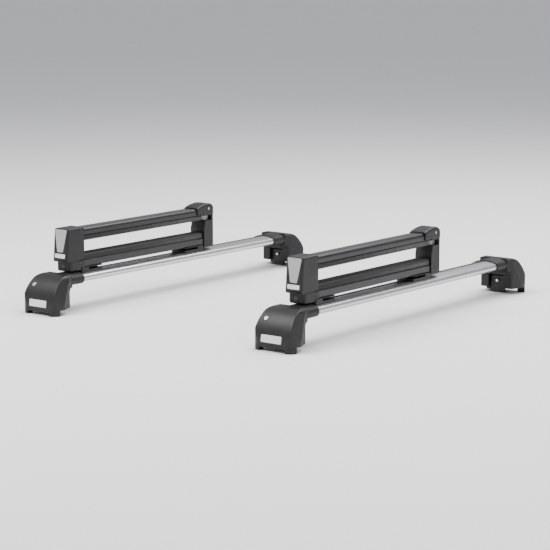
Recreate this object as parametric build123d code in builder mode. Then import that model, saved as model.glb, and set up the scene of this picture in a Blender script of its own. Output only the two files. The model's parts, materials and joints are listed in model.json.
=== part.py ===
from build123d import *

import os
from math import cos, radians, sin

# Roof ski rack: two aerofoil crossbars on rail feet, each carrying one hinged ski clamp.
#
# Millimetres. +X points forward along the car, +Y to its left, +Z up. The origin is on the
# surface that the feet stand on, midway between the four feet. Every piece is drawn for the
# right-hand foot or for a bar at X = 0, and is then moved or mirrored to where it belongs.

# Overall layout
BAR_SPACING = 760.0
BAR_Z = 82.0
BAR_END = 460.0
FOOT_OUTER = 534.0
FOOT_INNER = 466.0
NECK_END = 404.0

# Crossbar section
BAR_CHORD = 80.0
BAR_TOP = 14.0
BAR_KEEL = -13.4
BAR_WALL = 2.2
SLOT_NECK = 10.6
SLOT_WIDTH = 21.0
SLOT_FLOOR = 3.0
SLOT_ROOF = 11.0

# Foot
FOOT_HALF = 61.0
NECK_HALF = 44.0
CROWN_HALF = 47.0
FOOT_TOP = 99.0
NECK_BOTTOM = 65.0
SHOULDER_END = 452.0
SLEEVE_WALL = 3.5
COVER_SPLIT = 470.0
COVER_WALL = 3.0
COVER_GAP = 0.4
COVER_BOTTOM = 16.0
CORE_HALF = 40.0
PLATE_BOTTOM = 15.0
LUG_INNER = 516.0
LUG_HALF_GAP = 38.0
LUG_RISE = 9.0
PAD_THICK = 3.0
PAD_WIDTH = 26.0
PAD_MIDDLE = -502.0
SCREW_Z = 34.0
SCREW_R = 4.0
FIT = 0.05
LOCK_X = -30.0
LOCK_DEPTH = 18.0
LOCK_Z = 75.0
LOCK_TILT = 40.0
LOCK_R = 5.5
FOOT_LABEL_X = -3.0
FOOT_LABEL_Z = 30.0
FOOT_LABEL_LENGTH = 60.6
FOOT_LABEL_HEIGHT = 18.6
LABEL_DEPTH = 0.8

# Ski clamp, measured along Y from its latch end to its hinge end
CAP_HALF = 25.0
ARM_HALF = 22.0
ARM_HEIGHT = 18.0
ARM_WALL = 2.0
LOWER_ARM_Z = 108.0
UPPER_ARM_Z = 193.0
PAD_HEIGHT = 16.0
PAD_HALF = 21.0
PAD_SLOT = 12.6
PLUG_WIDTH = 38.0
PLUG_HEIGHT = 10.6
PLUG_LIFT = 2.5
LATCH_END = -439.0
CAP_BOTTOM = 101.0
CAP_TOP = 126.0
CAP_LOCK_R = 6.0
CAP_LOCK_Z = 114.0
LOWER_ARM_START = -398.0
HINGE_END = 148.0
TOWER_START = 104.0
TOWER_TOP = 176.0
HOUSING_INNER = -385.0
UPPER_ARM_START = -412.0
HOUSING_BOTTOM = 127.0
HOUSING_TOP = 214.0
HOUSING_CEILING = 212.0
HOUSING_WALL = 3.0
HOUSING_LIP = -452.0
HOUSING_BROW = -445.0
LIP_RISE = 7.0
HOUSING_LABEL_Z = 143.0
HOUSING_LABEL_LENGTH = 36.6
HOUSING_LABEL_HEIGHT = 11.6

# Latch
RACK_FACE = -420.0
RACK_PITCH = 5.0
RACK_LOW = 134.0
RACK_NOTCHES = 7
RACK_THICK = 4.0
PAWL_Y = -427.0
PAWL_Z = 160.0
PAWL_HALF = 6.0
PAWL_THICK = 4.0
PAWL_PIN_R = 2.45
BUTTON_LOW = 153.0
BUTTON_HIGH = 211.4
BUTTON_TOP_HALF = 21.0
BUTTON_LOW_HALF = 10.0
BUTTON_PUSH_Z = 192.0
SPRING_Z = 203.0
SPRING_SEAT = -414.6

# Hinge
PIN_Y = 126.0
PIN_Z = 208.0
PIN_R = 4.0
COLUMN_X = 9.0
COLUMN_WIDTH = 10.0
COLUMN_DEPTH = 16.0
COLUMN_FOOT = 108.0

# Bar mounts under each clamp
MOUNT_NEAR = -356.0
MOUNT_FAR = 60.0
SADDLE_HALF_LENGTH = 40.0
SADDLE_HALF = 27.0
LEVER_LOW = 100.7
LEVER_HIGH = 106.3
LEVER_LENGTH = 60.0
BOLT_R = 4.0


# How a box or cylinder lies about its location, where +Y is inward on a right-hand foot
STANDING = (Align.CENTER, Align.CENTER, Align.MIN)
HANGING = (Align.CENTER, Align.CENTER, Align.MAX)
INWARD_UP = (Align.CENTER, Align.MIN, Align.MIN)
OUTWARD_UP = (Align.CENTER, Align.MAX, Align.MIN)


def at_y(y):
    """The XZ plane at a given Y. Extruding from it goes towards -Y."""
    return Plane.XZ.offset(-y)


def bar_outline(grow=0.0):
    """Aerofoil outline of a crossbar in X and Z, nose forward, grown by a clearance."""
    nose_x, tail_x = BAR_CHORD / 2, -BAR_CHORD / 2
    nose_start, nose_half = nose_x - 7, 9.4
    tail_start, tail_high, tail_low = tail_x + 1.4, 2.2, -3.0
    tail_middle = (tail_high + tail_low) / 2
    crest_x, keel_x = 4.0, 2.0
    with BuildSketch() as outline:
        with BuildLine():
            ThreePointArc((nose_start, -nose_half), (nose_x, 0), (nose_start, nose_half))
            ThreePointArc((nose_start, nose_half), (crest_x, BAR_TOP), (tail_start, tail_high))
            ThreePointArc((tail_start, tail_high), (tail_x, tail_middle), (tail_start, tail_low))
            ThreePointArc((tail_start, tail_low), (keel_x, BAR_KEEL), (nose_start, -nose_half))
        make_face()
        if grow:
            offset(amount=grow)
    return outline.sketch


def crossbar():
    """Hollow aluminium extrusion with an accessory T-slot along its top."""
    core_half = SLOT_WIDTH / 2 + BAR_WALL
    core_floor = SLOT_FLOOR - BAR_WALL
    with BuildPart() as bar:
        with BuildSketch(at_y(BAR_END)):
            with Locations((0, BAR_Z)):
                add(bar_outline())
        extrude(amount=2 * BAR_END)
        with BuildSketch(at_y(BAR_END)):
            with Locations((0, BAR_Z)):
                add(bar_outline(-BAR_WALL))
            with Locations((0, BAR_Z + core_floor + BAR_CHORD / 2)):
                Rectangle(2 * core_half, BAR_CHORD, mode=Mode.SUBTRACT)
            with Locations((-core_half, BAR_Z), (core_half, BAR_Z)):
                Rectangle(BAR_WALL, BAR_CHORD, mode=Mode.SUBTRACT)
        extrude(amount=2 * BAR_END, mode=Mode.SUBTRACT)
        with BuildSketch(at_y(BAR_END)):
            with Locations((0, BAR_Z + (SLOT_FLOOR + SLOT_ROOF) / 2)):
                Rectangle(SLOT_WIDTH, SLOT_ROOF - SLOT_FLOOR)
            with Locations((0, BAR_Z + SLOT_ROOF + BAR_WALL)):
                Rectangle(SLOT_NECK, 2 * BAR_WALL + 1)
        extrude(amount=2 * BAR_END, mode=Mode.SUBTRACT)
    return bar.part


def slot_strip(start, end):
    """Rubber infill for one stretch of the T-slot, with its root held under the slot's lips."""
    neck_half, root_half, root_thick, slack = SLOT_NECK / 2 - 0.3, 8.0, 2.4, 0.5
    root_top, crown = SLOT_ROOF - slack, BAR_TOP + 0.6
    with BuildPart() as strip:
        with BuildSketch(at_y(end)):
            with Locations((0, BAR_Z + crown)):
                Rectangle(2 * neck_half, crown - root_top + root_thick, align=(Align.CENTER, Align.MAX))
            with Locations((0, BAR_Z + root_top)):
                Rectangle(2 * root_half, root_thick, align=(Align.CENTER, Align.MAX))
        extrude(amount=end - start)
        crest = strip.edges().filter_by(Axis.Y).group_by(Axis.Z)[-1]
        fillet(crest, 1.2)
    return strip.part


def foot_form(inset=0.0):
    """Outer form of a right-hand foot and its neck, made a little smaller all over by inset."""
    outer, inner, top = FOOT_OUTER - inset, FOOT_INNER + inset, FOOT_TOP - inset
    half, neck_half, crown_half = FOOT_HALF - inset, NECK_HALF - inset, CROWN_HALF - inset
    neck_bottom, arch_r = NECK_BOTTOM + inset, 12.0
    waist_z, waist_y, shoulder_y = 24.0, -500.0, -456.0
    with BuildPart() as form:
        with BuildSketch(Plane.YZ):
            with BuildLine():
                EllipticalCenterArc(
                    (-COVER_SPLIT, COVER_BOTTOM),
                    outer - COVER_SPLIT,
                    top - COVER_BOTTOM,
                    start_angle=90,
                    arc_size=90,
                )
                Polyline((-outer, COVER_BOTTOM), (-outer, 0), (-inner, 0), (-inner, neck_bottom - arch_r))
                RadiusArc((-inner, neck_bottom - arch_r), (arch_r - inner, neck_bottom), arch_r)
                Polyline((arch_r - inner, neck_bottom), (-SHOULDER_END, neck_bottom), (-SHOULDER_END, top))
                Line((-SHOULDER_END, top), (-COVER_SPLIT, top))
            make_face()
        extrude(amount=half, both=True)
        with BuildSketch() as plan:
            with BuildLine():
                Polyline((0, -outer), (half, -outer), (half, waist_y), (neck_half, shoulder_y))
                Polyline((neck_half, shoulder_y), (neck_half, 0), (0, 0))
                mirror(about=Plane.YZ)
            make_face()
            fillet(plan.vertices().filter_by_position(Axis.Y, -outer - 1, 1 - outer), 22 - inset)
            fillet(plan.vertices().filter_by_position(Axis.Y, waist_y - 1, waist_y + 1), 26 - inset)
            fillet(plan.vertices().filter_by_position(Axis.Y, shoulder_y - 1, shoulder_y + 1), 26 + inset)
        extrude(amount=2 * FOOT_TOP, mode=Mode.INTERSECT)
        with BuildSketch(at_y(0)) as front:
            with BuildLine():
                side = Polyline((0, 0), (half, 0), (half, waist_z), (crown_half, top), (0, top))
                mirror(side, about=Plane.YZ)
            make_face()
            fillet(front.vertices().filter_by_position(Axis.Y, waist_z - 1, waist_z + 1), 40)
            fillet(front.vertices().filter_by_position(Axis.Y, top - 1, top + 1), 14 - inset)
        extrude(amount=FOOT_OUTER + 10, mode=Mode.INTERSECT)
    return form.part


def foot_skin():
    """Foot form with its shoulders eased where the curved face meets the sides and the crown."""
    with BuildPart() as skin:
        add(foot_form())
        creases = skin.edges().filter_by(GeomType.BSPLINE).filter_by_position(Axis.Z, 60, FOOT_TOP)
        fillet(creases.filter_by_position(Axis.Y, -FOOT_OUTER, -480), 3)
    return skin.part


def lock_plane():
    """Plane on the cover's shoulder whose normal points out along the lock's axis."""
    drop = radians(LOCK_TILT)
    return Plane(
        origin=(LOCK_X, LOCK_DEPTH - FOOT_OUTER, LOCK_Z),
        x_dir=(1, 0, 0),
        z_dir=(0, -cos(drop), sin(drop)),
    )


def foot_label_recess():
    """Shallow recess for a label, as deep all over as the cover's outer face is curved."""
    with BuildPart() as recess:
        add(foot_skin())
        add(foot_form(LABEL_DEPTH), mode=Mode.SUBTRACT)
        with BuildSketch(at_y(COVER_WALL - FOOT_OUTER)):
            with Locations((FOOT_LABEL_X, FOOT_LABEL_Z)):
                RectangleRounded(FOOT_LABEL_LENGTH, FOOT_LABEL_HEIGHT, 2.5)
        extrude(amount=2 * COVER_WALL, mode=Mode.INTERSECT)
    return recess.part


def foot_cover():
    """Moulded shell over the outside of a foot, with a hole for its lock and a label recess."""
    with BuildPart() as cover:
        add(foot_skin())
        add(foot_form(COVER_WALL), mode=Mode.SUBTRACT)
        add(foot_label_recess(), mode=Mode.SUBTRACT)
        split(bisect_by=Plane.XZ.offset(COVER_SPLIT + COVER_GAP), keep=Keep.TOP)
        split(bisect_by=Plane.XY.offset(COVER_BOTTOM), keep=Keep.TOP)
        with BuildSketch(lock_plane()):
            Circle(LOCK_R + FIT)
        extrude(amount=30, both=True, mode=Mode.SUBTRACT)
    return cover.part


def foot_base():
    """Load-bearing foot: bar socket, neck, sole plate and the two lugs that straddle the rail."""
    below = COVER_BOTTOM - COVER_GAP
    jaw_room_width, jaw_room_depth, jaw_room_top = 48.0, 18.0, 52.0
    head_well_r, head_well_depth, screw_bore_depth, screw_room = 9.0, 23.0, 60.0, 0.3
    lock_well_width, lock_well_height, lock_well_end = 22.0, 46.0, -490.0
    with BuildPart() as core:
        add(foot_form(COVER_WALL + COVER_GAP))
        with Locations((0, -COVER_SPLIT, 0)):
            Box(2 * CORE_HALF, 200, 400, mode=Mode.INTERSECT)
    with BuildPart() as neck:
        add(foot_skin())
        split(bisect_by=Plane.XZ.offset(COVER_SPLIT), keep=Keep.BOTTOM)
    with BuildPart() as sleeve:
        with BuildSketch(at_y(-NECK_END)):
            with Locations((0, BAR_Z)):
                add(bar_outline(SLEEVE_WALL))
        extrude(amount=SHOULDER_END - NECK_END + 4)
        chamfer(sleeve.edges().group_by(Axis.Y)[-1], 1)
    with BuildPart() as sole:
        add(foot_skin())
        split(bisect_by=Plane.XY.offset(below), keep=Keep.BOTTOM)
    with BuildPart() as base:
        add(core.part)
        add(neck.part)
        add(sleeve.part)
        add(sole.part)
        with Locations((0, -LUG_INNER, PLATE_BOTTOM)):
            Box(
                4 * FOOT_HALF,
                200,
                PLATE_BOTTOM + 1,
                align=(Align.CENTER, Align.MIN, Align.MAX),
                mode=Mode.SUBTRACT,
            )
        with Locations((0, -FOOT_OUTER, LUG_RISE)):
            Box(2 * LUG_HALF_GAP, 100, LUG_RISE + 1, align=HANGING, mode=Mode.SUBTRACT)
        with BuildSketch(at_y(-NECK_END + 1)):
            with Locations((0, BAR_Z)):
                add(bar_outline(0.15))
        extrude(amount=BAR_END - NECK_END + 1, mode=Mode.SUBTRACT)
        # room for the jaw, open below and towards the car's middle
        with Locations((0, -FOOT_INNER + 1, 0)):
            Box(jaw_room_width, jaw_room_depth, jaw_room_top, align=OUTWARD_UP, mode=Mode.SUBTRACT)
        # screw bore, and a well for its head
        with Locations(Location((0, -FOOT_OUTER, SCREW_Z), (-90, 0, 0))):
            Cylinder(SCREW_R + screw_room, screw_bore_depth, align=STANDING, mode=Mode.SUBTRACT)
            Cylinder(head_well_r, head_well_depth, align=STANDING, mode=Mode.SUBTRACT)
        # well for the cover's lock, open outwards so that the cover can swing up
        with Locations((LOCK_X, lock_well_end, LOCK_Z)):
            Box(
                lock_well_width,
                FOOT_OUTER,
                lock_well_height,
                align=(Align.CENTER, Align.MAX, Align.CENTER),
                mode=Mode.SUBTRACT,
            )
    return base.part


def rail_pad():
    """Rubber pad between the foot's sole and the rail."""
    with BuildPart() as pad:
        with Locations((0, PAD_MIDDLE, PLATE_BOTTOM - PAD_THICK)):
            Box(2 * CORE_HALF - 2, PAD_WIDTH, PAD_THICK, align=STANDING)
        fillet(pad.edges().filter_by(Axis.Z), 5)
    return pad.part


def cover_lock():
    """Key cylinder in a foot cover, with its keyway and a short cam inside."""
    plane, face, back, cam_thick = lock_plane(), 1.0, -13.0, 2.5
    key_width, key_height, key_depth = 1.6, 7.0, 9.0
    with BuildPart() as lock:
        with BuildSketch(plane.offset(back)):
            Circle(LOCK_R)
        extrude(amount=face - back)
        chamfer(lock.edges().filter_by(GeomType.CIRCLE).sort_by(Axis(plane.origin, plane.z_dir))[-1], 0.8)
        with BuildSketch(plane.offset(face)):
            Rectangle(key_width, key_height)
        extrude(amount=-key_depth, mode=Mode.SUBTRACT)
        with BuildSketch(plane.offset(back)):
            Rectangle(5, 12)
        extrude(amount=-cam_thick)
    return lock.part


def clamp_jaw():
    """Steel hook that grips the rail's inner edge."""
    inner, outer, hook = -476.0, -481.0, -486.0
    low, hook_top, throat, high, half = 2.0, 4.0, 5.0, 46.0, 22.0
    with BuildPart() as jaw:
        with BuildSketch(Plane.YZ):
            with BuildLine():
                Polyline(
                    (hook, hook_top),
                    (hook, low),
                    (inner, low),
                    (inner, high),
                    (outer, high),
                    (outer, throat),
                    close=True,
                )
            make_face()
        extrude(amount=half, both=True)
        fillet(jaw.edges().filter_by(Axis.Y).group_by(Axis.Z)[-1], 6)
        with Locations(Location((0, inner, SCREW_Z), (-90, 0, 0))):
            Cylinder(SCREW_R + FIT, 20, mode=Mode.SUBTRACT)
    return jaw.part


def clamp_screw():
    """Socket-head screw that draws the jaw in."""
    head_face, seat, tip, head_r, socket_r, socket_depth = -519.0, -511.0, -469.5, 6.5, 3.0, 5.0
    with BuildPart() as screw:
        with BuildSketch(at_y(seat)):
            with Locations((0, SCREW_Z)):
                Circle(head_r)
        extrude(amount=seat - head_face)
        with BuildSketch(at_y(tip)):
            with Locations((0, SCREW_Z)):
                Circle(SCREW_R)
        extrude(amount=tip - seat)
        chamfer(screw.edges().filter_by(GeomType.CIRCLE).sort_by(Axis.Y)[-1], 0.8)
        chamfer(screw.edges().filter_by(GeomType.CIRCLE).sort_by(Axis.Y)[0], 0.6)
        with BuildSketch(at_y(head_face)):
            with Locations((0, SCREW_Z)):
                RegularPolygon(socket_r, 6, major_radius=False)
        extrude(amount=-socket_depth, mode=Mode.SUBTRACT)
    return screw.part


def arm_section(floor, domed, pad_side):
    """Hollow arm section in X and Z with a slot for its pad, above (1) or below (-1)."""
    middle = floor + ARM_HEIGHT / 2
    with BuildSketch() as section:
        with Locations((0, middle)):
            Rectangle(2 * ARM_HALF, ARM_HEIGHT)
        corners = section.vertices()
        if domed:
            fillet(corners.group_by(Axis.Y)[-1], 9)
            fillet(corners.group_by(Axis.Y)[0], 1.5)
        else:
            fillet(corners, 2)
        offset(amount=-ARM_WALL, mode=Mode.SUBTRACT)
        with Locations((0, middle + pad_side * ARM_HEIGHT / 2)):
            Rectangle(PAD_SLOT, 3 * ARM_WALL, mode=Mode.SUBTRACT)
    return section.sketch


def arm(floor, start, end, domed, pad_side):
    """One arm extrusion."""
    with BuildPart() as extrusion:
        with BuildSketch(at_y(end)):
            add(arm_section(floor, domed, pad_side))
        extrude(amount=end - start)
    return extrusion.part


def grip_pad(seat, start, end, side):
    """Soft rubber pad on an arm's seat face, standing up (1) or hanging down (-1) from it."""
    neck_half, root_half, root_thick, slack = PAD_SLOT / 2 - 0.3, 9.0, 2.0, 0.2
    with BuildPart() as pad:
        with BuildSketch(at_y(end)) as section:
            with Locations((0, seat + side * PAD_HEIGHT / 2)):
                Rectangle(2 * PAD_HALF, PAD_HEIGHT)
            crest = section.vertices().sort_by(Axis.Y)
            fillet(crest[2:] if side > 0 else crest[:2], 5)
            with Locations((0, seat - side * ARM_WALL / 2)):
                Rectangle(2 * neck_half, ARM_WALL + 2 * slack)
            with Locations((0, seat - side * (ARM_WALL + slack + root_thick / 2))):
                Rectangle(2 * root_half, root_thick)
        extrude(amount=end - start)
    return pad.part


def lower_end_cap():
    """Latch end of the lower arm: cap, plug into the arm, post for the rack and lock bore."""
    length, plug_length, slack = 57.0, 26.0, 0.2
    post_width, post_depth, post_height = 18.0, 14.0, 48.0
    bore_depth, cam_room_r, cam_room_depth = 12.0, 8.5, 5.0
    with BuildPart() as cap:
        with Locations((0, LATCH_END, CAP_BOTTOM)):
            Box(2 * CAP_HALF, length, CAP_TOP - CAP_BOTTOM, align=INWARD_UP)
        fillet(cap.edges().filter_by(Axis.Z).group_by(Axis.Y)[0], 9)
        fillet(cap.faces().sort_by(Axis.Z)[0].edges(), 4)
        with Locations((0, LOWER_ARM_START, LOWER_ARM_Z - slack)):
            Box(2 * (ARM_HALF + slack), length, length, align=INWARD_UP, mode=Mode.SUBTRACT)
        with Locations((0, LOWER_ARM_START, 0)):
            Box(4 * CAP_HALF, length, LOWER_ARM_Z, align=INWARD_UP, mode=Mode.SUBTRACT)
        with Locations((0, LOWER_ARM_START - 2, LOWER_ARM_Z + PLUG_LIFT)):
            Box(PLUG_WIDTH, plug_length, PLUG_HEIGHT, align=INWARD_UP)
        with Locations((0, RACK_FACE + RACK_THICK, CAP_TOP - 2)):
            Box(post_width, post_depth, post_height, align=INWARD_UP)
        with Locations(Location((0, LATCH_END, CAP_LOCK_Z), (-90, 0, 0))):
            Cylinder(CAP_LOCK_R + FIT, bore_depth, align=STANDING, mode=Mode.SUBTRACT)
        with Locations(Location((0, LATCH_END + bore_depth, CAP_LOCK_Z), (-90, 0, 0))):
            Cylinder(cam_room_r, cam_room_depth, align=STANDING, mode=Mode.SUBTRACT)
    return cap.part


def latch_rack():
    """Steel rack on the post, one notch for each height at which the clamp can be locked."""
    depth, half, width, foot, length = 2.4, 2.2, 14.0, 128.0, 42.0
    with BuildPart() as rack:
        with Locations((0, RACK_FACE, foot)):
            Box(width, RACK_THICK, length, align=INWARD_UP)
        with BuildSketch(Plane.YZ):
            with Locations(*[(RACK_FACE, RACK_LOW + RACK_PITCH * i) for i in range(RACK_NOTCHES)]):
                Polygon((0, -half), (depth, 0), (0, half), align=None)
        extrude(amount=width, both=True, mode=Mode.SUBTRACT)
    return rack.part


def carrier_lock():
    """Key cylinder in the lower cap, with a cam turning in the cavity behind it."""
    face, cam_face, cam_back = LATCH_END - 0.8, LATCH_END + 12.3, LATCH_END + 16
    key_width, key_height, key_depth = 1.5, 7.5, 8.0
    with BuildPart() as lock:
        with BuildSketch(at_y(cam_face)):
            with Locations((0, CAP_LOCK_Z)):
                Circle(CAP_LOCK_R)
        extrude(amount=cam_face - face)
        chamfer(lock.edges().filter_by(GeomType.CIRCLE).sort_by(Axis.Y)[0], 0.7)
        with BuildSketch(at_y(face)):
            with Locations((0, CAP_LOCK_Z)):
                Rectangle(key_width, key_height)
        extrude(amount=-key_depth, mode=Mode.SUBTRACT)
        with BuildSketch(at_y(cam_back)):
            with Locations((0, CAP_LOCK_Z)):
                Rectangle(14, 5)
        extrude(amount=cam_back - cam_face)
    return lock.part


def housing_face(z):
    """Plane on the latch housing's leaning end face at a given height, facing outwards."""
    low, lean = HOUSING_BOTTOM + LIP_RISE, HOUSING_BROW - HOUSING_LIP
    rise = HOUSING_TOP - low
    y = HOUSING_LIP + lean * (z - low) / rise
    return Plane(origin=(0, y, z), x_dir=(1, 0, 0), z_dir=(0, -rise, lean))


def housing_form():
    """Outer form of the latch housing: its end face flares out towards a lip at the bottom."""
    with BuildPart() as form:
        with BuildSketch(Plane.YZ):
            with BuildLine():
                Polyline(
                    (HOUSING_INNER, HOUSING_BOTTOM + 2),
                    (LOWER_ARM_START - 2, HOUSING_BOTTOM + 2),
                    (LOWER_ARM_START - 2, HOUSING_BOTTOM),
                    (HOUSING_LIP + 4, HOUSING_BOTTOM),
                    (HOUSING_LIP, HOUSING_BOTTOM + LIP_RISE),
                    (HOUSING_BROW, HOUSING_TOP),
                    (HOUSING_INNER, HOUSING_TOP),
                    close=True,
                )
            make_face()
        extrude(amount=CAP_HALF, both=True)
        end_face = form.faces().filter_by_position(Axis.Y, HOUSING_LIP, HOUSING_BROW).sort_by(SortBy.AREA)[-1]
        fillet(end_face.edges().filter_by(Axis.X, reverse=True), 6)
        fillet(form.edges().group_by(Axis.Z)[-1].sort_by(Axis.Y)[:-1], 5)
    return form.part


def button_shape(grow):
    """Trapezium of the push button, wider at the top, grown by a clearance."""
    with BuildSketch(at_y(0)) as shape:
        with BuildLine():
            Polyline(
                (-BUTTON_LOW_HALF, BUTTON_LOW),
                (BUTTON_LOW_HALF, BUTTON_LOW),
                (BUTTON_TOP_HALF, BUTTON_HIGH),
                (-BUTTON_TOP_HALF, BUTTON_HIGH),
                close=True,
            )
        make_face()
        fillet(shape.vertices(), 3)
        if grow:
            offset(amount=grow)
    return shape.sketch


def latch_housing():
    """Hood on the upper arm's free end, open below over the rack's post."""
    front_wall, button_gap, seat_size, seat_thick = 4.0, 0.5, 18.0, 2.4
    with BuildPart() as housing:
        add(housing_form())
        with BuildSketch(Plane.YZ):
            with BuildLine():
                Polyline(
                    (HOUSING_INNER - HOUSING_WALL, HOUSING_BOTTOM - 1),
                    (HOUSING_LIP + front_wall, HOUSING_BOTTOM - 1),
                    (HOUSING_LIP + front_wall, HOUSING_BOTTOM + LIP_RISE),
                    (HOUSING_BROW + front_wall, HOUSING_CEILING),
                    (HOUSING_INNER - HOUSING_WALL, HOUSING_CEILING),
                    close=True,
                )
            make_face()
        extrude(amount=CAP_HALF - HOUSING_WALL, both=True, mode=Mode.SUBTRACT)
        with Locations((0, HOUSING_INNER + 1, UPPER_ARM_Z - 0.15)):
            Box(2 * ARM_HALF + 0.3, 30, ARM_HEIGHT + 0.3, align=OUTWARD_UP, mode=Mode.SUBTRACT)
        with BuildSketch(at_y(HOUSING_BROW + 2 * front_wall)):
            add(button_shape(button_gap))
        extrude(amount=6 * front_wall, mode=Mode.SUBTRACT)
        with Locations(Location((0, PAWL_Y, PAWL_Z), (0, 90, 0))):
            Cylinder(PAWL_PIN_R, 2 * CAP_HALF - HOUSING_WALL)
        with Locations((0, SPRING_SEAT, HOUSING_CEILING + 1)):
            Box(seat_size, seat_thick, seat_size, align=(Align.CENTER, Align.MIN, Align.MAX))
        with BuildSketch(housing_face(HOUSING_LABEL_Z)):
            RectangleRounded(HOUSING_LABEL_LENGTH, HOUSING_LABEL_HEIGHT, 2)
        extrude(amount=-LABEL_DEPTH, mode=Mode.SUBTRACT)
    return housing.part


def latch_button():
    """Push button flush with the housing's end face, with a boss that meets the pawl."""
    thick, boss_width, boss_length, boss_height, boss_gap = 3.4, 10.0, 15.0, 5.0, 0.7
    with BuildPart() as button:
        add(housing_form())
        with BuildSketch(housing_face(BUTTON_PUSH_Z)):
            Rectangle(4 * CAP_HALF, 2 * HOUSING_TOP)
        extrude(amount=-thick, mode=Mode.INTERSECT)
        with BuildSketch(at_y(HOUSING_INNER)):
            add(button_shape(0))
        extrude(amount=HOUSING_INNER - HOUSING_LIP, mode=Mode.INTERSECT)
        with Locations((0, PAWL_Y - PAWL_THICK / 2 - boss_gap, BUTTON_PUSH_Z)):
            Box(boss_width, boss_length, boss_height, align=(Align.CENTER, Align.MAX, Align.CENTER))
    return button.part


def latch_pawl():
    """Rocking pawl: a tooth in the rack below its pivot, and a tail that the button pushes."""
    face, back, bite, tooth_half = PAWL_Y + PAWL_THICK / 2, PAWL_Y - PAWL_THICK / 2, 1.8, 1.7
    low, high, eye_r = RACK_LOW - 3, BUTTON_PUSH_Z + 2, 4.5
    with BuildPart() as pawl:
        with BuildSketch(Plane.YZ):
            with BuildLine():
                Polyline(
                    (back, low),
                    (face, low),
                    (face, RACK_LOW - tooth_half),
                    (RACK_FACE + bite, RACK_LOW),
                    (face, RACK_LOW + tooth_half),
                    (face, high),
                    (back, high),
                    close=True,
                )
            make_face()
            with Locations((PAWL_Y, PAWL_Z)):
                Circle(eye_r)
                Circle(PAWL_PIN_R + FIT, mode=Mode.SUBTRACT)
        extrude(amount=PAWL_HALF, both=True)
    return pawl.part


def button_spring():
    """Compression spring between the upper arm's end and the push button."""
    length, coil_r, wire_r, turns = 27.0, 4.0, 0.55, 8
    with BuildPart() as spring:
        with BuildLine():
            coil = Helix(pitch=(length - 2 * wire_r) / turns, height=length - 2 * wire_r, radius=coil_r)
        with BuildSketch(Plane(origin=coil @ 0, z_dir=coil % 0)):
            Circle(wire_r)
        sweep(is_frenet=True)
    stood = Location((0, SPRING_SEAT - length, SPRING_Z), (-90, 0, 0))
    return spring.part.moved(stood)


def hinge_tower():
    """Hinge end of the lower arm: cap, plug into the arm, and guides for the slider's columns."""
    shroud_r, shroud_y, guide_room = HINGE_END - PIN_Y + 0.6, 137.0, 0.5
    neck_z, heel, plug_length = TOWER_TOP - 24, 8.0, 24.0
    low = PIN_Z - (shroud_r**2 - (shroud_y - PIN_Y) ** 2) ** 0.5
    high = PIN_Z - (shroud_r**2 - (HINGE_END - PIN_Y) ** 2) ** 0.5
    with BuildPart() as tower:
        with BuildSketch(Plane.YZ):
            with BuildLine():
                Polyline((shroud_y, low), (shroud_y, TOWER_TOP), (TOWER_START + 6, TOWER_TOP))
                Polyline((TOWER_START + 6, TOWER_TOP), (TOWER_START, neck_z), (TOWER_START, CAP_BOTTOM))
                Line((TOWER_START, CAP_BOTTOM), (HINGE_END - heel, CAP_BOTTOM))
                Polyline((HINGE_END - heel, CAP_BOTTOM), (HINGE_END, CAP_BOTTOM + heel), (HINGE_END, high))
                RadiusArc((HINGE_END, high), (shroud_y, low), shroud_r)
            make_face()
        extrude(amount=CAP_HALF, both=True)
        fillet(tower.edges().filter_by(Axis.Z).group_by(Axis.Y)[-1], 8)
        with Locations((0, TOWER_START, LOWER_ARM_Z + PLUG_LIFT)):
            Box(PLUG_WIDTH, plug_length, PLUG_HEIGHT, align=OUTWARD_UP)
        with Locations((-COLUMN_X, PIN_Y, COLUMN_FOOT - 2), (COLUMN_X, PIN_Y, COLUMN_FOOT - 2)):
            Box(
                COLUMN_WIDTH + guide_room,
                COLUMN_DEPTH + guide_room,
                TOWER_TOP,
                align=STANDING,
                mode=Mode.SUBTRACT,
            )
    return tower.part


def hinge_slider():
    """Yoke that carries the hinge pin and slides up in the tower for thicker loads."""
    with BuildPart() as slider:
        with Locations((-COLUMN_X, PIN_Y, COLUMN_FOOT), (COLUMN_X, PIN_Y, COLUMN_FOOT)):
            Box(COLUMN_WIDTH, COLUMN_DEPTH, PIN_Z - COLUMN_FOOT, align=STANDING)
        with Locations(Location((0, PIN_Y, PIN_Z), (0, 90, 0))):
            Cylinder(COLUMN_DEPTH / 2, 2 * COLUMN_X + COLUMN_WIDTH)
            Cylinder(PIN_R, 4 * COLUMN_X + COLUMN_WIDTH, mode=Mode.SUBTRACT)
    return slider.part


def hinge_pin():
    """Steel hinge pin."""
    with BuildPart() as pin:
        with Locations(Location((0, PIN_Y, PIN_Z), (0, 90, 0))):
            Cylinder(PIN_R, 2 * CAP_HALF - 2)
        chamfer(pin.edges().filter_by(GeomType.CIRCLE), 0.6)
    return pin.part


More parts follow.
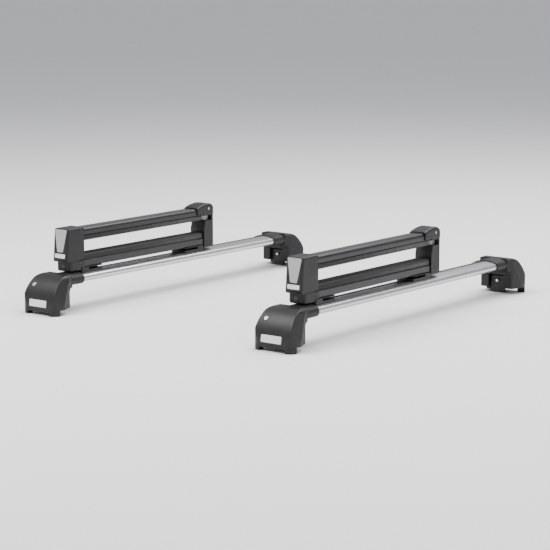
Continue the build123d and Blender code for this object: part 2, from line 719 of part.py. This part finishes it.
def upper_hinge_cap():
    """Cap on the upper arm's hinge end, with two ears on the hinge pin."""
    start, ear_start, ear_low = 76.0, 106.0, PIN_Z - 18
    under, end_r, crest = UPPER_ARM_Z + 0.3, HINGE_END - PIN_Y, 15.0
    socket_length, yoke_room, yoke_front, yoke_top = 24.0, 29.0, PIN_Y - 11, PIN_Z + 9
    with BuildPart() as cap:
        with BuildSketch(Plane.YZ):
            with BuildLine():
                EllipticalCenterArc((PIN_Y, PIN_Z), end_r, crest, start_angle=0, arc_size=90)
                TangentArc((PIN_Y, PIN_Z + crest), (start, HOUSING_TOP), tangent=(-1, 0))
                Polyline((start, HOUSING_TOP), (start, under), (ear_start, under), (ear_start, ear_low))
                Polyline((ear_start, ear_low), (HINGE_END, ear_low), (HINGE_END, PIN_Z))
            make_face()
        extrude(amount=CAP_HALF, both=True)
        crown = cap.edges().filter_by(Axis.X, reverse=True).filter_by_position(Axis.Z, HOUSING_TOP + 1, 230)
        fillet(crown, 6)
        with BuildSketch(Plane.YZ):
            with Locations((HINGE_END, ear_low)):
                Rectangle(2 * end_r, 2 * (PIN_Z - ear_low))
            with Locations((PIN_Y, PIN_Z)):
                Circle(end_r, mode=Mode.SUBTRACT)
                Rectangle(4 * end_r, 2 * end_r, align=(Align.CENTER, Align.MIN), mode=Mode.SUBTRACT)
        extrude(amount=CAP_HALF, both=True, mode=Mode.SUBTRACT)
        with Locations((0, start + socket_length, UPPER_ARM_Z)):
            Box(
                2 * ARM_HALF + 0.3,
                socket_length + 1,
                ARM_HEIGHT + 0.2,
                align=OUTWARD_UP,
                mode=Mode.SUBTRACT,
            )
        with Locations((0, yoke_front, yoke_top)):
            Box(yoke_room, 60, 60, align=(Align.CENTER, Align.MIN, Align.MAX), mode=Mode.SUBTRACT)
        with Locations(Location((0, PIN_Y, PIN_Z), (0, 90, 0))):
            Cylinder(PIN_R + FIT, 4 * CAP_HALF, mode=Mode.SUBTRACT)
    return cap.part


def mount_saddle(middle):
    """Saddle between a crossbar and the lower arm, slotted for the lever."""
    depth, slot_wall, slot_room, bolt_room = 18.0, 14.0, 0.2, 0.3
    with BuildPart() as saddle:
        with Locations((0, middle, LOWER_ARM_Z)):
            Box(2 * SADDLE_HALF, 2 * SADDLE_HALF_LENGTH, depth, align=HANGING)
        fillet(saddle.edges().filter_by(Axis.Z), 5)
        with BuildSketch(at_y(middle + SADDLE_HALF_LENGTH + 1)):
            with Locations((0, BAR_Z)):
                add(bar_outline(0.1))
        extrude(amount=2 * SADDLE_HALF_LENGTH + 2, mode=Mode.SUBTRACT)
        with Locations((-slot_wall, middle - slot_wall, LEVER_LOW - slot_room)):
            Box(
                2 * SADDLE_HALF_LENGTH,
                2 * SADDLE_HALF_LENGTH,
                LEVER_HIGH - LEVER_LOW + 2 * slot_room,
                align=(Align.MIN, Align.MIN, Align.MIN),
                mode=Mode.SUBTRACT,
            )
        with Locations((0, middle, LOWER_ARM_Z)):
            Cylinder(BOLT_R + bolt_room, 3 * depth, mode=Mode.SUBTRACT)
    return saddle.part


def clamp_lever(middle):
    """Quarter-turn lever nut on the T-bolt, stowed along the arm."""
    hub_r, waist, tip_r = 11.0, 5.0, 6.5
    tip = middle + LEVER_LENGTH - tip_r
    with BuildPart() as lever:
        with BuildSketch(Plane.XY.offset(LEVER_LOW)):
            with Locations((0, middle)):
                Circle(hub_r)
            with Locations((0, (middle + tip) / 2)):
                Rectangle(2 * waist, tip - middle)
            with Locations((0, tip)):
                Circle(tip_r)
            with Locations((0, middle)):
                Circle(BOLT_R + FIT, mode=Mode.SUBTRACT)
        extrude(amount=LEVER_HIGH - LEVER_LOW)
    return lever.part


def t_bolt(middle):
    """Bolt whose square head hangs in the crossbar's T-slot."""
    head_top, head_width, head_thick = BAR_Z + SLOT_ROOF - 0.1, 18.0, 4.0
    with BuildPart() as bolt:
        with Locations((0, middle, head_top)):
            Box(head_width, head_width, head_thick, align=HANGING)
        with Locations((0, middle, LEVER_HIGH)):
            Cylinder(BOLT_R, LEVER_HIGH - head_top + 1, align=HANGING)
    return bolt.part


def write(name, *shapes):
    """Exports one node, made of one or more separate solids."""
    with BuildPart() as node:
        add(shapes)
    node.part.label = name
    export_step(node.part, f"parts/{name}.step")


def forward(shape, x):
    """The shape moved along the car."""
    return shape.moved(Location((x, 0, 0)))


def across_car(shape):
    """The mirror image of a right-hand shape, for the left-hand side."""
    return mirror(shape, about=Plane.XZ)


def flipped(shape, middle):
    """The mirror image of a mount's shape about its own middle."""
    return mirror(shape, about=Plane.XZ.offset(-middle))


ENDS = {"front": BAR_SPACING / 2, "rear": -BAR_SPACING / 2}

FOOT_PIECES = {
    "foot_base": foot_base(),
    "foot_cover": foot_cover(),
    "cover_lock": cover_lock(),
    "clamp_jaw": clamp_jaw(),
    "clamp_screw": clamp_screw(),
}

UPPER_ARM = arm(UPPER_ARM_Z, UPPER_ARM_START, 100, True, -1)
LOWER_ARM = arm(LOWER_ARM_Z, LOWER_ARM_START, TOWER_START, False, 1)
CLAMP_PIECES = {
    "crossbar": crossbar(),
    "lower_arm": LOWER_ARM,
    "lower_end_cap": lower_end_cap(),
    "upper_arm": UPPER_ARM,
    "upper_pad": grip_pad(UPPER_ARM_Z, -384, 100, -1),
    "upper_hinge_cap": upper_hinge_cap(),
    "latch_housing": latch_housing(),
    "latch_button": latch_button(),
    "button_spring": button_spring(),
    "latch_pawl": latch_pawl(),
    "carrier_lock": carrier_lock(),
    "hinge_slider": hinge_slider(),
    "hinge_pin": hinge_pin(),
}

STRIP_ENDS = [
    (MOUNT_NEAR + SADDLE_HALF_LENGTH + 1, MOUNT_FAR - SADDLE_HALF_LENGTH - 1),
    (MOUNT_FAR + SADDLE_HALF_LENGTH + 1, NECK_END - 1),
]
PAIRED_PIECES = {
    "slot_strips": [slot_strip(start, end) for start, end in STRIP_ENDS],
    "rail_pads": [rail_pad(), across_car(rail_pad())],
    "lower_pads": [grip_pad(LOWER_ARM_Z + ARM_HEIGHT, LOWER_ARM_START + 14, TOWER_START - 2, 1)],
    "latch_racks": [latch_rack()],
    "hinge_towers": [hinge_tower()],
    "mount_saddles": [mount_saddle(MOUNT_NEAR), flipped(mount_saddle(MOUNT_FAR), MOUNT_FAR)],
}

MOUNT_PIECES = {
    "right": {"clamp_lever": clamp_lever(MOUNT_NEAR), "t_bolt": t_bolt(MOUNT_NEAR)},
    "left": {"clamp_lever": flipped(clamp_lever(MOUNT_FAR), MOUNT_FAR), "t_bolt": t_bolt(MOUNT_FAR)},
}

os.makedirs("parts", exist_ok=True)
for end, x in ENDS.items():
    for piece, shape in FOOT_PIECES.items():
        write(f"{end}_right_{piece}", forward(shape, x))
        write(f"{end}_left_{piece}", forward(across_car(shape), x))
    for piece, shape in CLAMP_PIECES.items():
        write(f"{end}_{piece}", forward(shape, x))
    for side, pieces in MOUNT_PIECES.items():
        for piece, shape in pieces.items():
            write(f"{end}_{side}_{piece}", forward(shape, x))
for piece, shapes in PAIRED_PIECES.items():
    write(piece, *[forward(shape, x) for x in ENDS.values() for shape in shapes])
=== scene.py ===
"""Roof ski rack: materials, ribbed grips, blank plates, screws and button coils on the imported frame.

Metres, in the frame's own axes: +X forward along the car, +Y to its left, +Z up.
"""
import json
from math import cos, pi, sin, sqrt

import bmesh
import bpy
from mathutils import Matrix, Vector


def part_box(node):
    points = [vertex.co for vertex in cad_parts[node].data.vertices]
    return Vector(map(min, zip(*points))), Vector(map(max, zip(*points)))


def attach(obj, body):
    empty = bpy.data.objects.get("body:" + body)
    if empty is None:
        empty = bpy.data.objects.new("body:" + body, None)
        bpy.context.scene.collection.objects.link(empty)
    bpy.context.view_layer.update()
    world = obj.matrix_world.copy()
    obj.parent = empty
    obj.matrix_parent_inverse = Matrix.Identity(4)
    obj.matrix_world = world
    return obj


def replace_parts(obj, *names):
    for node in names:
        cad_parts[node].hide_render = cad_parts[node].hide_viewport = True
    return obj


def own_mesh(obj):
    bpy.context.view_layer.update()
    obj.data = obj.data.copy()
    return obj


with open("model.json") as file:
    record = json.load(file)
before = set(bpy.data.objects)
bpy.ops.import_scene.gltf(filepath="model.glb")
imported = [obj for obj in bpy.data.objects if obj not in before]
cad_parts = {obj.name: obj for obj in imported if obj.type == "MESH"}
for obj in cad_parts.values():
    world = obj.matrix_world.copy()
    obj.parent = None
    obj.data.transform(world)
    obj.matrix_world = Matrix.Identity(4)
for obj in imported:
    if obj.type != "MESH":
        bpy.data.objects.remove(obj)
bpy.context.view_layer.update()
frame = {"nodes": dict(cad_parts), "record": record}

ENDS = ("front", "rear")
SIDES = ("right", "left")
MM = 0.001


# ---------------------------------------------------------------- materials


BEVEL_SAMPLES = 4


class Shader:
    """A material under construction: a principled surface and the nodes that feed it."""

    def __init__(self, name, **surface):
        self.material = bpy.data.materials.new(name)
        self.material.use_nodes = True
        self.tree = self.material.node_tree
        self.surface = self.tree.nodes["Principled BSDF"]
        self.place = self.tree.nodes.new("ShaderNodeTexCoord").outputs["Object"]
        for socket, value in surface.items():
            self.surface.inputs[socket.replace("_", " ")].default_value = value

    def node(self, kind, settings=(), **inputs):
        """Adds a node, sets its properties and then its inputs, which may be values or other outputs."""
        made = self.tree.nodes.new(kind)
        for name, value in dict(settings).items():
            setattr(made, name, value)
        for name, value in inputs.items():
            socket = made.inputs[int(name[1:]) if name[1:].isdigit() else name.replace("_", " ")]
            if isinstance(value, bpy.types.NodeSocket):
                self.tree.links.new(value, socket)
            else:
                socket.default_value = value
        return made

    def scaled(self, x, y, z):
        """Object coordinates stretched along each axis: features get smaller as the number grows."""
        return self.node("ShaderNodeMapping", Vector=self.place, Scale=(x, y, z)).outputs["Vector"]

    def noise(self, scale, detail=4.0, rough=0.55, vector=None):
        vector = vector or self.place
        made = self.node(
            "ShaderNodeTexNoise", Vector=vector, Scale=scale, Detail=detail, Roughness=rough
        )
        return made.outputs["Fac"]

    def spots(self, scale):
        return self.node("ShaderNodeTexVoronoi", Vector=self.place, Scale=scale).outputs["Distance"]

    def ramp(self, value, low, high, start=0.0, end=1.0):
        """Maps value from the range low to high onto start to end, and holds it at those ends."""
        mapped = self.node("ShaderNodeMapRange", i0=value, i1=low, i2=high, i3=start, i4=end)
        return mapped.outputs["Result"]

    def math(self, operation, a, b=0.0):
        return self.node("ShaderNodeMath", {"operation": operation}, i0=a, i1=b).outputs["Value"]

    def mix(self, amount, a, b):
        mixed = self.node("ShaderNodeMix", {"data_type": "RGBA"}, i0=amount, i6=a, i7=b)
        return mixed.outputs[2]

    def rounded(self, radius):
        """The surface's normal, with edges eased to that radius."""
        made = self.node("ShaderNodeBevel", {"samples": BEVEL_SAMPLES}, Radius=radius)
        return made.outputs["Normal"]

    def edges(self, radius, low=0.02, high=0.25):
        """How near a point is to a convex or concave edge, from 0 to 1."""
        soft = self.rounded(radius)
        true = self.node("ShaderNodeNewGeometry").outputs["Normal"]
        turned = self.node("ShaderNodeVectorMath", {"operation": "DOT_PRODUCT"}, i0=soft, i1=true)
        return self.ramp(turned.outputs["Value"], 1.0 - low, 1.0 - high)

    def finish(self, colour, rough, bumps=(), round_edges=0.0):
        """Links colour, roughness and a stack of (height, strength, distance) bumps to the surface."""
        normal = None
        if round_edges:
            normal = self.rounded(round_edges)
        for height, strength, distance in bumps:
            bump = self.node("ShaderNodeBump", Height=height, Strength=strength, Distance=distance)
            if normal is not None:
                self.tree.links.new(normal, bump.inputs["Normal"])
            normal = bump.outputs["Normal"]
        for socket, value in (("Base Color", colour), ("Roughness", rough), ("Normal", normal)):
            if value is not None:
                self.tree.links.new(value, self.surface.inputs[socket])
        return self.material


def grey(level, warmth=0.0):
    """A grey of that linear level, a little warmer or cooler."""
    return (level * (1 + warmth), level, level * (1 - warmth), 1.0)


def moulded_plastic(name, dark, light, gloss, grain=0.12):
    """Injection-moulded plastic: eroded tool grain, slow gloss changes, dust, and rubbed edges."""
    s = Shader(name, IOR=1.42)
    slow = s.noise(14, detail=3)
    grain_height = s.noise(2300, detail=2, rough=0.6)
    dust = s.ramp(s.noise(60, detail=6, rough=0.7), 0.5, 0.78)
    worn = s.math("MULTIPLY", s.edges(0.0009), s.ramp(s.noise(190, detail=5), 0.38, 0.62))
    body = s.mix(slow, grey(dark, -0.02), grey(dark * 1.35, 0.01))
    dusted = s.mix(s.math("MULTIPLY", dust, 0.25), body, grey(light, 0.04))
    colour = s.mix(s.math("MULTIPLY", worn, 0.5), dusted, grey(light))
    polish = s.ramp(slow, 0.3, 0.7, gloss - 0.05, gloss + 0.07)
    rough = s.math("ADD", polish, s.math("MULTIPLY", dust, 0.12))
    return s.finish(colour, rough, [(grain_height, grain, 0.0004)], round_edges=0.0007)


def drawn_aluminium(name, level, gloss, metallic=1.0, streak=0.1):
    """Anodised extrusion: fine die lines along its length, and faint handling marks."""
    s = Shader(name, Metallic=metallic, IOR=1.6)
    along = s.scaled(1.0, 0.006, 1.0)
    lines = s.noise(900, detail=5, rough=0.7, vector=along)
    broad = s.noise(70, detail=3, vector=along)
    marks = s.ramp(s.noise(35, detail=8, rough=0.75), 0.58, 0.75)
    scratch = s.ramp(s.noise(160, detail=2, vector=s.scaled(1.0, 0.05, 1.4)), 0.66, 0.72)
    base = s.mix(broad, grey(level * 0.9, -0.01), grey(level * 1.08, 0.005))
    colour = s.mix(s.math("MULTIPLY", scratch, 0.35), base, grey(min(1.0, level * 1.5 + 0.04)))
    lined = s.ramp(lines, 0.3, 0.7, gloss - streak / 2, gloss + streak / 2)
    spread = s.math("ADD", lined, s.math("MULTIPLY", marks, 0.1))
    return s.finish(colour, spread, [(lines, 0.06, 0.0003), (scratch, 0.05, 0.0002)], round_edges=0.0005)


def rubber(name, level, gloss=0.62):
    """Matt extruded rubber: a fine bloom, specks and a dry sheen."""
    s = Shader(name, IOR=1.45, Sheen_Weight=0.08, Sheen_Roughness=0.5)
    bloom = s.ramp(s.noise(45, detail=7, rough=0.7), 0.42, 0.75)
    specks = s.ramp(s.spots(900), 0.0, 0.35)
    grain = s.noise(1500, detail=3)
    body = s.mix(bloom, grey(level), grey(level * 2.4, 0.03))
    colour = s.mix(s.math("MULTIPLY", specks, 0.3), grey(level * 0.8), body)
    rough = s.ramp(bloom, 0.0, 1.0, gloss, gloss + 0.2)
    return s.finish(colour, rough, [(grain, 0.18, 0.0003), (specks, 0.08, 0.0002)], round_edges=0.0006)


def ribbed_rubber(name):
    """Softer, dustier rubber of the grips: chalky on the ribs' crests, darker between them."""
    s = Shader(name, IOR=1.45, Sheen_Weight=0.12, Sheen_Roughness=0.45)
    bloom = s.ramp(s.noise(38, detail=7, rough=0.72), 0.4, 0.72)
    scuff = s.ramp(s.noise(55, detail=4, vector=s.scaled(1.0, 0.3, 1.0)), 0.5, 0.7, 0.2, 0.7)
    chalk = s.math("MULTIPLY", s.edges(0.0012, low=0.01, high=0.3), scuff)
    colour = s.mix(chalk, s.mix(bloom, grey(0.006), grey(0.013, 0.03)), grey(0.035, 0.02))
    rough = s.ramp(bloom, 0.0, 1.0, 0.52, 0.74)
    return s.finish(colour, rough, [(s.noise(1700, detail=3), 0.16, 0.0003)])


def plated_steel(name, level, gloss, warmth=0.0):
    """Zinc-plated steel: a patchy crystalline sheen with slight iridescence."""
    s = Shader(name, Metallic=1.0)
    patches = s.noise(240, detail=6, rough=0.65)
    crystals = s.spots(1400)
    cool = (level * 0.92, level * 0.97, level * 1.05, 1.0)
    tint = s.mix(patches, cool, grey(level * 1.05, 0.03 + warmth))
    rough = s.ramp(patches, 0.3, 0.7, gloss - 0.07, gloss + 0.1)
    return s.finish(tint, rough, [(crystals, 0.05, 0.0002), (patches, 0.06, 0.0003)], round_edges=0.0003)


def cast_metal(name, level):
    """Tumbled die casting: pebbled skin and brighter edges."""
    s = Shader(name, Metallic=0.85)
    pebble = s.noise(700, detail=4)
    cloud = s.noise(50, detail=3)
    bright = s.edges(0.0008)
    skin = s.mix(cloud, grey(level * 0.85), grey(level * 1.05))
    colour = s.mix(s.math("MULTIPLY", bright, 0.5), skin, grey(level * 1.4))
    rough = s.ramp(pebble, 0.3, 0.7, 0.38, 0.55)
    return s.finish(colour, rough, [(pebble, 0.15, 0.0004)], round_edges=0.0007)


def printed_plate(name):
    """Blank off-white plate with a satin lacquer and slight yellowing towards its edges."""
    s = Shader(name, IOR=1.5, Coat_Weight=0.35, Coat_Roughness=0.25)
    mottle = s.noise(120, detail=4)
    grime = s.math("MULTIPLY", s.edges(0.0012), 0.35)
    colour = s.mix(grime, s.mix(mottle, grey(0.68, 0.01), grey(0.76, 0.015)), (0.42, 0.39, 0.34, 1.0))
    rough = s.ramp(mottle, 0.3, 0.7, 0.32, 0.45)
    return s.finish(colour, rough, [(s.noise(900), 0.03, 0.0002)], round_edges=0.0004)


MATERIALS = {
    "bar_aluminium": drawn_aluminium("bar aluminium", 0.62, 0.3),
    "arm_aluminium": drawn_aluminium(
        "black anodised aluminium", 0.011, 0.34, metallic=0.3, streak=0.12
    ),
    "strip_rubber": rubber("strip rubber", 0.007),
    "grip_rubber": rubber("grip rubber", 0.007, gloss=0.55),
    "rail_pad_rubber": rubber("rail pad rubber", 0.008, gloss=0.7),
    "foot_plastic": moulded_plastic("foot plastic", 0.006, 0.028, 0.5, grain=0.2),
    "cover_plastic": moulded_plastic("cover plastic", 0.007, 0.03, 0.44),
    "cap_plastic": moulded_plastic("cap plastic", 0.0065, 0.03, 0.45),
    "button_plastic": moulded_plastic("button plastic", 0.30, 0.45, 0.4, grain=0.08),
    "lever_plastic": moulded_plastic("lever plastic", 0.01, 0.045, 0.5, grain=0.25),
    "slider_metal": cast_metal("cast slider", 0.5),
    "zinc_steel": plated_steel("zinc steel", 0.6, 0.32),
    "lock_metal": plated_steel("nickel lock", 0.42, 0.34, warmth=0.02),
    "dark_lock_metal": plated_steel("dark lock", 0.07, 0.34),
    "coated_steel": moulded_plastic("coated steel", 0.007, 0.035, 0.36, grain=0.1),
    "plate": printed_plate("blank plate"),
    "ribbed": ribbed_rubber("ribbed grip rubber"),
}


def dress(obj, finish):
    obj.data.materials.clear()
    obj.data.materials.append(MATERIALS[finish])


def dress_frame():
    """Gives every CAD node the material of its slot in the record."""
    for row in frame["record"]["subparts"]:
        dress(frame["nodes"][row["node"]], row["material_slot"])


# ---------------------------------------------------------------- pieces


def corner(node, side):
    """The lowest (0) or highest (1) corner of a CAD node at rest."""
    return Vector(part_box(node)[side])


def middle(node):
    return (corner(node, 0) + corner(node, 1)) / 2


SMOOTH_ANGLE = 0.7


def solid(name, bm, finish, body):
    """Makes an object of a finished bmesh, shades it and lets it ride on its body."""
    bmesh.ops.recalc_face_normals(bm, faces=bm.faces)
    mesh = bpy.data.meshes.new(name)
    bm.to_mesh(mesh)
    bm.free()
    mesh.shade_smooth()
    mesh.set_sharp_from_angle(angle=SMOOTH_ANGLE)
    mesh.materials.append(MATERIALS[finish])
    piece = bpy.data.objects.new(name, mesh)
    bpy.context.scene.collection.objects.link(piece)
    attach(piece, body)
    return piece


def loft(bm, rings):
    """Skins closed rings that all have the same number of points, and closes both ends."""
    loops = [[bm.verts.new(point) for point in ring] for ring in rings]
    count = len(loops[0])
    for near, far in zip(loops, loops[1:]):
        for i in range(count):
            j = (i + 1) % count
            bm.faces.new((near[i], near[j], far[j], far[i]))
    bm.faces.new(loops[0][::-1])
    bm.faces.new(loops[-1])


# Grip pads: rubber with lengthwise ribs along its crown and a waist where it meets the arm

PAD_HALF = 21 * MM
SHOULDER_R = 5 * MM
SHOULDER_STEPS = 5
RIB_COUNT = 9
RIB_PITCH = 3.4 * MM
RIB_DEPTH = 1.6 * MM
RIB_STEPS = 6
WAIST_DEPTH = 2.4 * MM
WAIST_LOW = 1.5 * MM
WAIST_HIGH = 3.2 * MM
END_EASE = 2.5 * MM
END_SIZE = 0.9


def pad_section(height):
    """The pad's outline from its seat, over the ribbed crown and back, as (across, up) pairs."""
    side = [(PAD_HALF - WAIST_DEPTH, 0.0), (PAD_HALF - WAIST_DEPTH, WAIST_LOW), (PAD_HALF, WAIST_HIGH)]
    for step in range(SHOULDER_STEPS):
        turn = step / (SHOULDER_STEPS - 1) * pi / 2
        across = PAD_HALF - SHOULDER_R * (1 - cos(turn))
        side.append((across, height - SHOULDER_R * (1 - sin(turn))))
    crown = []
    for step in range(1, RIB_COUNT * RIB_STEPS):
        across = RIB_PITCH * (RIB_COUNT / 2 - step / RIB_STEPS)
        valley = 0.5 + 0.5 * cos(2 * pi * step / RIB_STEPS)
        crown.append((across, height - RIB_DEPTH * valley**2))
    return side + crown + [(-across, up) for across, up in reversed(side)]


def grip(name, x, ends, seat, crown, body, node):
    """One grip pad, standing on its seat or hanging from it, with slightly shrunk ends."""
    section, up = pad_section(abs(crown - seat)), (1 if crown > seat else -1)
    start, end = ends
    rings = []
    for y, size in ((start, END_SIZE), (start + END_EASE, 1), (end - END_EASE, 1), (end, END_SIZE)):
        rings.append([(x + across * size, y, seat + up * height * size) for across, height in section])
    bm = bmesh.new()
    loft(bm, rings)
    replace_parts(solid(name, bm, "ribbed", body), node)


def grips():
    low, high = corner("lower_pads", 0), corner("lower_pads", 1)
    for end in ENDS:
        arm, node = end + "_lower_arm", end + "_upper_pad"
        seat = corner(arm, 1).z
        grip(end + "_lower_grip", middle(arm).x, (low.y, high.y), seat, high.z, "rack", "lower_pads")
        top, bottom = corner(end + "_upper_arm", 0).z, corner(node, 0)
        reach = (bottom.y, corner(node, 1).y)
        grip(end + "_upper_grip", middle(node).x, reach, top, bottom.z, end + "_upper", node)


# Blank plates: one in the recess of each foot cover, and one in that of each latch housing

LABEL_DEPTH = 0.8 * MM
PLATE_THICK = 0.6 * MM
PLATE_EASE = 0.25 * MM
PLATE_ROWS = 16
PLATE_R = 2.2 * MM
FOOT_PLATE = (60 * MM, 18 * MM)
FOOT_PLATE_X = -3 * MM
FOOT_PLATE_Z = 30 * MM
COVER_GAP = 0.4 * MM
HOUSING_PLATE = (36 * MM, 11 * MM)
HOUSING_PLATE_Z = 143 * MM
LIP_RISE = 7 * MM
HOUSING_LEAN = 7 * MM


def plate(name, size, place, body):
    """A thin plate with round corners. place turns (across, up, depth below its face) into a point."""
    width, height = size
    rings = []
    for row in range(PLATE_ROWS + 1):
        up = -height / 2 * cos(pi * row / PLATE_ROWS)
        over = max(0.0, abs(up) - height / 2 + PLATE_R)
        half = width / 2 - PLATE_R + sqrt(max(0.0, PLATE_R**2 - over**2))
        edge = [(half, PLATE_THICK), (half, PLATE_EASE), (half - PLATE_EASE, 0.0)]
        ring = edge + [(-across, depth) for across, depth in reversed(edge)]
        rings.append([place(across, up, depth) for across, depth in ring])
    bm = bmesh.new()
    loft(bm, rings)
    solid(name, bm, "plate", body)


def foot_plate(end, side):
    """Plate that follows the elliptic outer face of its foot cover."""
    node = f"{end}_{side}_foot_cover"
    low, high = corner(node, 0), corner(node, 1)
    away = -1 if side == "right" else 1
    outer, split = max(abs(low.y), abs(high.y)), min(abs(low.y), abs(high.y)) - COVER_GAP
    sunk = LABEL_DEPTH - PLATE_THICK

    def place(across, up, depth):
        z = FOOT_PLATE_Z + up
        rise = (z - low.z) / (high.z - low.z)
        face = split + (outer - split) * sqrt(1 - rise**2)
        return (middle(node).x + FOOT_PLATE_X + across, away * (face - sunk - depth), z)

    plate(f"{end}_{side}_foot_plate", FOOT_PLATE, place, f"{end}_{side}_cover")


def housing_plate(end):
    """Plate on the leaning end face of its latch housing."""
    node = end + "_latch_housing"
    low, high = corner(node, 0), corner(node, 1)
    lip_z = low.z + LIP_RISE
    lean = HOUSING_LEAN / (high.z - lip_z)
    sunk = LABEL_DEPTH - PLATE_THICK

    def place(across, up, depth):
        z = HOUSING_PLATE_Z + up
        return (middle(node).x + across, low.y + lean * (z - lip_z) + sunk + depth, z)

    plate(end + "_housing_plate", HOUSING_PLATE, place, end + "_upper")


# Screws that hold the end caps on the arms: low domed heads with a hexagonal socket

HEAD_R = 3.4 * MM
HEAD_HEIGHT = 1.5 * MM
SOCKET_R = 1.7 * MM
SOCKET_DEPTH = 1.0 * MM
HEAD_STEPS = 24
DOME_TURNS = (0, 0.35, 0.7, 0.95)
RIM_SHARE = 0.9
CAP_INSET = 10 * MM
POST_INSET = 40 * MM
TOWER_INSET = 30 * MM


def screw_head(bm, base, out):
    """One screw head on a face at X = base.x, standing out towards +X or -X."""

    def ring(radius, height, sides=HEAD_STEPS):
        points = []
        for step in range(HEAD_STEPS):
            turn = 2 * pi * step / HEAD_STEPS
            sector = pi / sides
            reach = radius * cos(sector) / cos((turn + sector) % (2 * sector) - sector)
            y, z = base.y + reach * cos(turn), base.z + reach * sin(turn)
            points.append((base.x + out * height, y, z))
        return points

    dome = [ring(HEAD_R * cos(turn), HEAD_HEIGHT * sin(turn)) for turn in DOME_TURNS]
    rim = HEAD_HEIGHT * RIM_SHARE
    loft(bm, dome + [ring(SOCKET_R, rim, 6), ring(SOCKET_R, rim - SOCKET_DEPTH, 6)])


def cap_screws(name, end, places, body):
    """Screws through both sides of the caps of one clamp, at (Y, Z) places."""
    bm = bmesh.new()
    low, high = corner(end + "_latch_housing", 0), corner(end + "_latch_housing", 1)
    for y, z in places:
        screw_head(bm, Vector((low.x, y, z)), -1)
        screw_head(bm, Vector((high.x, y, z)), 1)
    solid(end + name, bm, "dark_lock_metal", body)


def screws():
    for end in ENDS:
        upper, lower = middle(end + "_upper_arm").z, middle(end + "_lower_arm").z
        near, far = corner(end + "_latch_housing", 1).y, corner(end + "_upper_hinge_cap", 0).y
        places = ((near - CAP_INSET, upper), (far + CAP_INSET, upper))
        cap_screws("_upper_screws", end, places, end + "_upper")
        post, tower = corner(end + "_lower_end_cap", 0).y, corner("hinge_towers", 1).y
        places = ((post + POST_INSET, lower), (tower - TOWER_INSET, lower))
        cap_screws("_lower_screws", end, places, "rack")


# Button springs: the CAD coils again, each with a mesh of its own


def button_spring(end):
    node = end + "_button_spring"
    frame_coil = bpy.data.objects[node]
    bm = bmesh.new()
    bm.from_mesh(frame_coil.data)
    bm.transform(frame_coil.matrix_world)
    coil = solid(end + "_spring_coil", bm, "zinc_steel", end + "_upper")
    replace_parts(coil, node)
    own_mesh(coil)


# ---------------------------------------------------------------- stage


def soft_light(name, at, size, power):
    """A square area light aimed at the rack."""
    data = bpy.data.lights.new(name, "AREA")
    data.size = size
    data.energy = power
    lamp = bpy.data.objects.new(name, data)
    lamp.location = at
    lamp.rotation_euler = (Vector(LIT_POINT) - Vector(at)).to_track_quat("-Z", "Y").to_euler()
    bpy.context.scene.collection.objects.link(lamp)


FLOOR_HALF = 30.0
FLOOR_GAP = 0.2 * MM


def floor():
    mesh = bpy.data.meshes.new("floor")
    corners = [(x * FLOOR_HALF, y * FLOOR_HALF, 0) for x, y in ((-1, -1), (1, -1), (1, 1), (-1, 1))]
    mesh.from_pydata(corners, [], [(0, 1, 2, 3)])
    plane = bpy.data.objects.new("floor", mesh)
    plane.location.z = -FLOOR_GAP
    bpy.context.scene.collection.objects.link(plane)
    s = Shader("floor", IOR=1.3)
    colour = s.mix(s.noise(3, detail=2), grey(0.86), grey(0.89))
    mesh.materials.append(s.finish(colour, s.ramp(s.noise(8), 0, 1, 0.6, 0.7)))


# Each lamp: its name, place, width in metres and power in watts
LAMPS = (
    ("key", (-1.4, -2.2, 3.2), 2.4, 190),
    ("top", (0.4, 1.4, 3.4), 3.2, 210),
    ("fill", (3.6, -1.2, 1.7), 2.2, 40),
)
LIT_POINT = (0, 0, 0.1)
SKY_COLOUR = (0.93, 0.95, 1.0, 1.0)
SKY_STRENGTH = 0.6


def studio():
    floor()
    for name, at, size, power in LAMPS:
        soft_light(name, at, size, power)
    world = bpy.data.worlds.new("studio")
    world.use_nodes = True
    sky = world.node_tree.nodes["Background"].inputs
    sky["Color"].default_value = SKY_COLOUR
    sky["Strength"].default_value = SKY_STRENGTH
    bpy.context.scene.world = world


# The viewpoint: right of the car and ahead of it, a little above the rack
EYE = Vector((3.128, -4.070, 0.940))
AIM = Vector((0.006, -0.038, 0.078))
LENS = 128.0
SENSOR_WIDTH = 36.0


def camera():
    data = bpy.data.cameras.new("camera")
    data.lens = LENS
    data.sensor_width = SENSOR_WIDTH
    eye = bpy.data.objects.new("camera", data)
    eye.location = EYE
    eye.rotation_euler = (AIM - EYE).to_track_quat("-Z", "Y").to_euler()
    bpy.context.scene.collection.objects.link(eye)
    bpy.context.scene.camera = eye


dress_frame()
grips()
for end in ENDS:
    button_spring(end)
    housing_plate(end)
    for side in SIDES:
        foot_plate(end, side)
screws()
studio()
camera()
